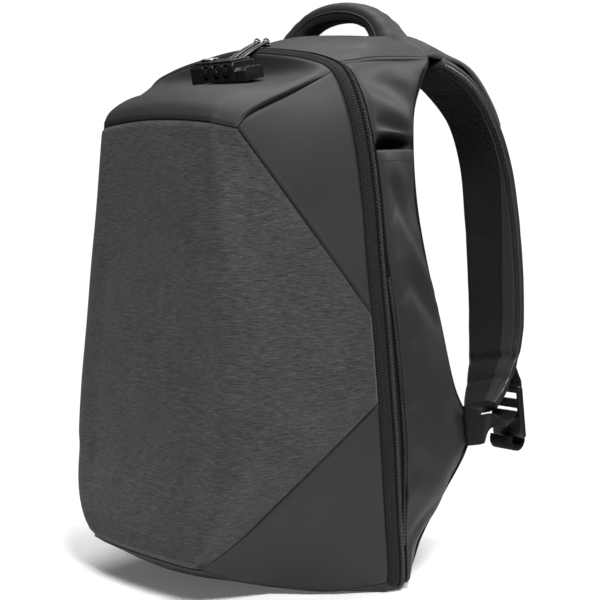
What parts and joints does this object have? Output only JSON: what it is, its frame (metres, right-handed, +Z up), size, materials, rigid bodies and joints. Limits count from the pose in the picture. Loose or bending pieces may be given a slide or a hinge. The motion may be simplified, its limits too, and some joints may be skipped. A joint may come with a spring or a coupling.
{
  "type": "backpack",
  "caption": "Hard-faced commuter backpack with folded front facets, a wrap-round zip with a dial lock, side pockets, padded straps and a grab handle.",
  "frame": {"origin": "centre of the flat base, on its underside, below the zip's plane", "axes": "+Z up along the bag, +Y towards the wearer's back, the folded front faces -Y, +X right as seen from the front"},
  "size_m": [0.3078, 0.3474, 0.4821],
  "materials": {
    "heather": "matt melange weave",
    "coated": "satin coated cloth",
    "woven": "matt woven tape",
    "mesh": "matt knitted mesh over foam",
    "zip": "satin nylon coil and tape",
    "buckle": "fine-grained moulded plastic",
    "lock_black": "satin black",
    "lock_steel": "brushed"
  },
  "bodies": {
    "root": {"front_panel": "heather", "top_panel": "coated", "corner_top_right": "coated", "corner_top_left": "coated", "corner_bottom_right": "coated", "corner_bottom_left": "coated", "base_panel": "coated", "zip_binding": "woven", "zip_main": "zip", "zip_gusset": "zip", "side_panel_right": "coated", "side_panel_left": "coated", "side_pocket_right": "coated", "side_pocket_left": "coated", "yoke": "coated", "lower_back": "coated", "back_pad": "mesh", "handle": "coated", "strap_right": "mesh", "strap_left": "mesh", "ladder_lock_right": "buckle", "ladder_lock_left": "buckle", "adjust_web_right": "woven", "adjust_web_left": "woven", "strap_web_right": "woven", "strap_web_left": "woven", "strap_tab_right": "coated", "strap_tab_left": "coated", "lock_body": "lock_black", "lock_plate": "lock_steel", "zip_slider_right": "lock_black", "zip_slider_left": "lock_black", "zip_pull_right": "lock_black", "zip_pull_left": "lock_black"},
    "first_dial": {"dial_1": "lock_black"},
    "second_dial": {"dial_2": "lock_black"},
    "third_dial": {"dial_3": "lock_black"},
    "barrel": {"key_barrel": "lock_steel"}
  },
  "joints": [
    {"name": "dial_1_spin", "type": "hinge", "parent": "root", "child": "first_dial", "pos_m": [-0.004, -0.04212, 0.41456], "axis": [1, 0, 0], "continuous": true},
    {"name": "dial_2_spin", "type": "hinge", "parent": "root", "child": "second_dial", "pos_m": [0.009, -0.04212, 0.41456], "axis": [1, 0, 0], "continuous": true},
    {"name": "dial_3_spin", "type": "hinge", "parent": "root", "child": "third_dial", "pos_m": [0.022, -0.04212, 0.41456], "axis": [1, 0, 0], "continuous": true},
    {"name": "barrel_turn", "type": "hinge", "parent": "root", "child": "barrel", "pos_m": [-0.014, -0.03251, 0.42374], "axis": [0, -0.2066, 0.9784], "range_deg": [0, 90]}
  ]
}
